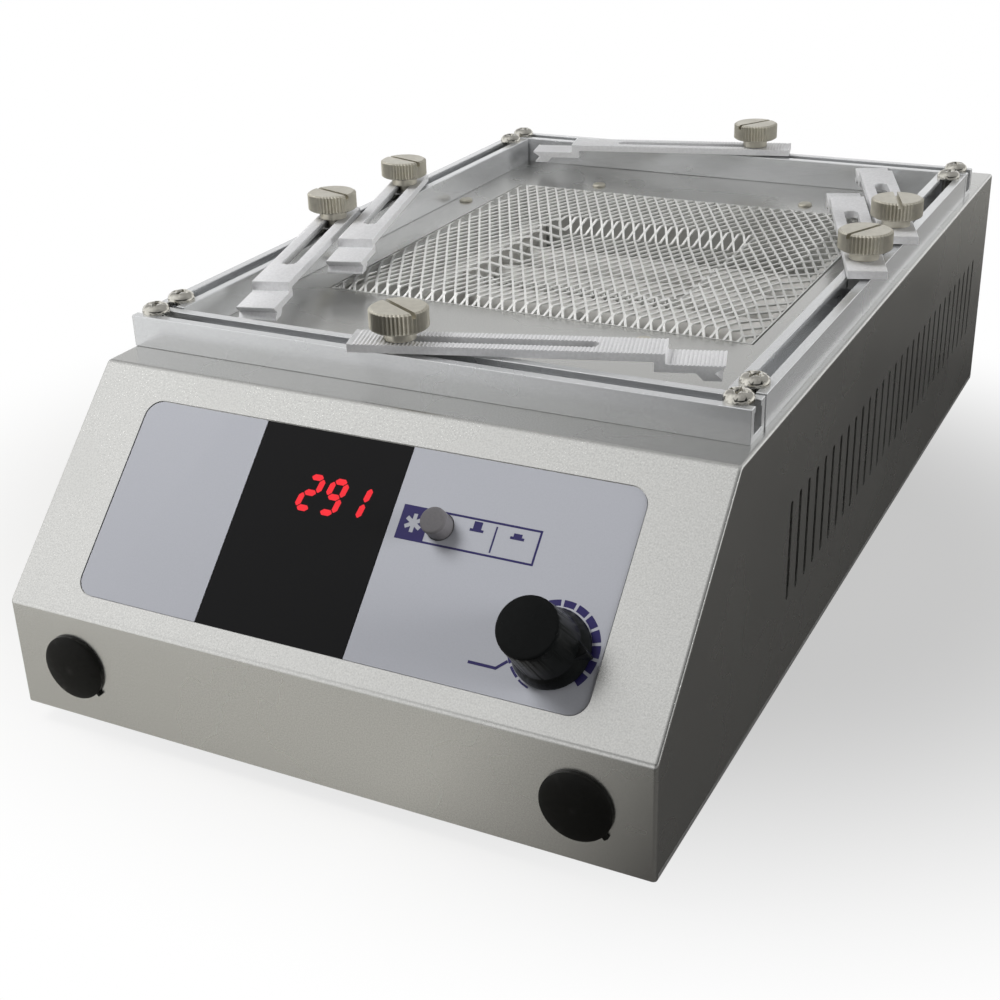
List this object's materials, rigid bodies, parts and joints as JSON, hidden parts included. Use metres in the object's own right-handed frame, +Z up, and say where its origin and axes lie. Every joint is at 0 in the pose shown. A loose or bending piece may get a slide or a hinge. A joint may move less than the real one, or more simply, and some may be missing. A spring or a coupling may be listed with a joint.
{
  "type": "circuit board preheater",
  "caption": "Benchtop infrared preheater with a sloped control face, an expanded-metal heater guard and a slotted rail frame with sliding, swivelling clamp arms for a circuit board.",
  "frame": {"origin": "middle of the case's footprint, on the plane its feet stand on", "axes": "+X to the user's right, +Y from the front lip to the rear panel, +Z up"},
  "size_m": [0.1969, 0.3596, 0.1119],
  "materials": {
    "case_paint": "satin silver paint with a fine metallic grain",
    "plain_sheet": "plain zinc-grey sheet",
    "anodised_rail": "satin anodised extrusion",
    "arm_metal": "bright cross-grooved aluminium",
    "nickel": "warm nickel plate",
    "zinc": "zinc-plated steel",
    "mesh_metal": "bare expanded sheet",
    "tray_metal": "dull bright reflector",
    "foot_rubber": "matt",
    "plug_black": "satin black",
    "knob_black": "smooth black",
    "button_grey": "satin grey",
    "label_film": "satin grey film",
    "display_smoke": "dark translucent window",
    "switch_black": "satin black",
    "board_green": "solder mask",
    "ceramic": "unglazed ceramic",
    "quartz": "milky quartz",
    "laminate": "varnished laminations"
  },
  "bodies": {
    "base": {"case_cover": "case_paint", "base_plate": "plain_sheet", "rear_panel": "case_paint", "feet": "foot_rubber", "case_screws": "zinc", "hole_plugs": "plug_black", "label_panel": "label_film", "display_window": "display_smoke", "display_module": "switch_black", "control_board": "board_green", "board_standoffs": "zinc", "potentiometer": "zinc", "potentiometer_nut": "zinc", "button_switch": "switch_black", "front_rail": "anodised_rail", "rear_rail": "anodised_rail", "left_rail": "anodised_rail", "right_rail": "anodised_rail", "rail_screws": "nickel", "rail_nuts": "zinc", "mesh_guard": "mesh_metal", "guard_screws": "nickel", "reflector_tray": "tray_metal", "heater_tubes": "quartz", "tube_holders": "ceramic", "temperature_probe": "zinc", "power_board": "board_green", "transformer": "laminate", "heat_sink": "tray_metal", "mains_inlet": "switch_black", "power_switch": "switch_black"},
    "knob": {"temperature_knob": "knob_black", "potentiometer_shaft": "zinc"},
    "button": {"push_button": "button_grey"},
    "rocker": {"power_rocker": "switch_black"},
    "front_slider": {"front_nut": "zinc"},
    "front_swivel": {"front_washer": "zinc"},
    "front_clamp": {"front_arm": "arm_metal"},
    "front_screw": {"front_thumb_screw": "nickel"},
    "rear_slider": {"rear_nut": "zinc"},
    "rear_swivel": {"rear_washer": "zinc"},
    "rear_clamp": {"rear_arm": "arm_metal"},
    "rear_screw": {"rear_thumb_screw": "nickel"},
    "left_front_slider": {"left_front_nut": "zinc"},
    "left_front_swivel": {"left_front_washer": "zinc"},
    "left_front_clamp": {"left_front_arm": "arm_metal"},
    "left_front_screw": {"left_front_thumb_screw": "nickel"},
    "left_rear_slider": {"left_rear_nut": "zinc"},
    "left_rear_swivel": {"left_rear_washer": "zinc"},
    "left_rear_clamp": {"left_rear_arm": "arm_metal"},
    "left_rear_screw": {"left_rear_thumb_screw": "nickel"},
    "right_front_slider": {"right_front_nut": "zinc"},
    "right_front_swivel": {"right_front_washer": "zinc"},
    "right_front_clamp": {"right_front_arm": "arm_metal"},
    "right_front_screw": {"right_front_thumb_screw": "nickel"},
    "right_rear_slider": {"right_rear_nut": "zinc"},
    "right_rear_swivel": {"right_rear_washer": "zinc"},
    "right_rear_clamp": {"right_rear_arm": "arm_metal"},
    "right_rear_screw": {"right_rear_thumb_screw": "nickel"}
  },
  "joints": [
    {"name": "knob_turn", "type": "hinge", "parent": "base", "child": "knob", "pos_m": [0.0625, -0.16038, 0.05302], "axis": [0, -0.7071, 0.7071], "range_deg": [-60, 240]},
    {"name": "button_press", "type": "slide", "parent": "base", "child": "button", "axis": [0, 0.7071, -0.7071], "range_m": [0, 0.002], "stiffness_N_per_m": 300, "springref_m": -0.002},
    {"name": "rocker_tip", "type": "hinge", "parent": "base", "child": "rocker", "pos_m": [-0.01, 0.1755, 0.046], "axis": [1, 0, 0], "range_deg": [0, 24]},
    {"name": "front_nut_slide", "type": "slide", "parent": "base", "child": "front_slider", "axis": [1, 0, 0], "range_m": [-0.04, 0.004]},
    {"name": "front_swing", "type": "hinge", "parent": "front_slider", "child": "front_swivel", "pos_m": [-0.00739, -0.1055, 0.0998], "axis": [0, 0, 1], "range_deg": [-2, 70]},
    {"name": "front_arm_slide", "type": "slide", "parent": "front_swivel", "child": "front_clamp", "axis": [0.9563, 0.2924, 0], "range_m": [-0.02, 0]},
    {"name": "front_screw_turn", "type": "hinge", "parent": "front_slider", "child": "front_screw", "pos_m": [-0.00739, -0.1055, 0.0998], "axis": [0, 0, 1], "continuous": true},
    {"name": "rear_nut_slide", "type": "slide", "parent": "base", "child": "rear_slider", "axis": [1, 0, 0], "range_m": [-0.007, 0.035]},
    {"name": "rear_swing", "type": "hinge", "parent": "rear_slider", "child": "rear_swivel", "pos_m": [0.01065, 0.1385, 0.0998], "axis": [0, 0, 1], "range_deg": [0, 70]},
    {"name": "rear_arm_slide", "type": "slide", "parent": "rear_swivel", "child": "rear_clamp", "axis": [-0.9724, -0.2334, 0], "range_m": [-0.018, 0]},
    {"name": "rear_screw_turn", "type": "hinge", "parent": "rear_slider", "child": "rear_screw", "pos_m": [0.01065, 0.1385, 0.0998], "axis": [0, 0, 1], "continuous": true},
    {"name": "left_front_nut_slide", "type": "slide", "parent": "base", "child": "left_front_slider", "axis": [0, 1, 0], "range_m": [-0.0055, 0.006]},
    {"name": "left_front_swing", "type": "hinge", "parent": "left_front_slider", "child": "left_front_swivel", "pos_m": [-0.0896, -0.00877, 0.0998], "axis": [0, 0, 1], "range_deg": [-3, 2.2]},
    {"name": "left_front_arm_slide", "type": "slide", "parent": "left_front_swivel", "child": "left_front_clamp", "axis": [0.2907, -0.9568, 0], "range_m": [-0.02, 0]},
    {"name": "left_front_screw_turn", "type": "hinge", "parent": "left_front_slider", "child": "left_front_screw", "pos_m": [-0.0896, -0.00877, 0.0998], "axis": [0, 0, 1], "continuous": true},
    {"name": "left_rear_nut_slide", "type": "slide", "parent": "base", "child": "left_rear_slider", "axis": [0, 1, 0], "range_m": [-0.006, 0.04]},
    {"name": "left_rear_swing", "type": "hinge", "parent": "left_rear_slider", "child": "left_rear_swivel", "pos_m": [-0.0896, 0.03973, 0.0998], "axis": [0, 0, 1], "range_deg": [-0.9, 70]},
    {"name": "left_rear_arm_slide", "type": "slide", "parent": "left_rear_swivel", "child": "left_rear_clamp", "axis": [0.2907, -0.9568, 0], "range_m": [-0.025, 0]},
    {"name": "left_rear_screw_turn", "type": "hinge", "parent": "left_rear_slider", "child": "left_rear_screw", "pos_m": [-0.0896, 0.03973, 0.0998], "axis": [0, 0, 1], "continuous": true},
    {"name": "right_front_nut_slide", "type": "slide", "parent": "base", "child": "right_front_slider", "axis": [0, 1, 0], "range_m": [-0.04, 0.0022]},
    {"name": "right_front_swing", "type": "hinge", "parent": "right_front_slider", "child": "right_front_swivel", "pos_m": [0.0878, 0.00941, 0.0998], "axis": [0, 0, 1], "range_deg": [-0.4, 70]},
    {"name": "right_front_arm_slide", "type": "slide", "parent": "right_front_swivel", "child": "right_front_clamp", "axis": [-0.3338, 0.9426, 0], "range_m": [-0.025, 0]},
    {"name": "right_front_screw_turn", "type": "hinge", "parent": "right_front_slider", "child": "right_front_screw", "pos_m": [0.0878, 0.00941, 0.0998], "axis": [0, 0, 1], "continuous": true},
    {"name": "right_rear_nut_slide", "type": "slide", "parent": "base", "child": "right_rear_slider", "axis": [0, 1, 0], "range_m": [-0.0022, 0.001]},
    {"name": "right_rear_swing", "type": "hinge", "parent": "right_rear_slider", "child": "right_rear_swivel", "pos_m": [0.0878, 0.04805, 0.0998], "axis": [0, 0, 1], "range_deg": [-2, 0.7]},
    {"name": "right_rear_arm_slide", "type": "slide", "parent": "right_rear_swivel", "child": "right_rear_clamp", "axis": [-0.3338, 0.9426, 0], "range_m": [-0.025, 0]},
    {"name": "right_rear_screw_turn", "type": "hinge", "parent": "right_rear_slider", "child": "right_rear_screw", "pos_m": [0.0878, 0.04805, 0.0998], "axis": [0, 0, 1], "continuous": true}
  ]
}
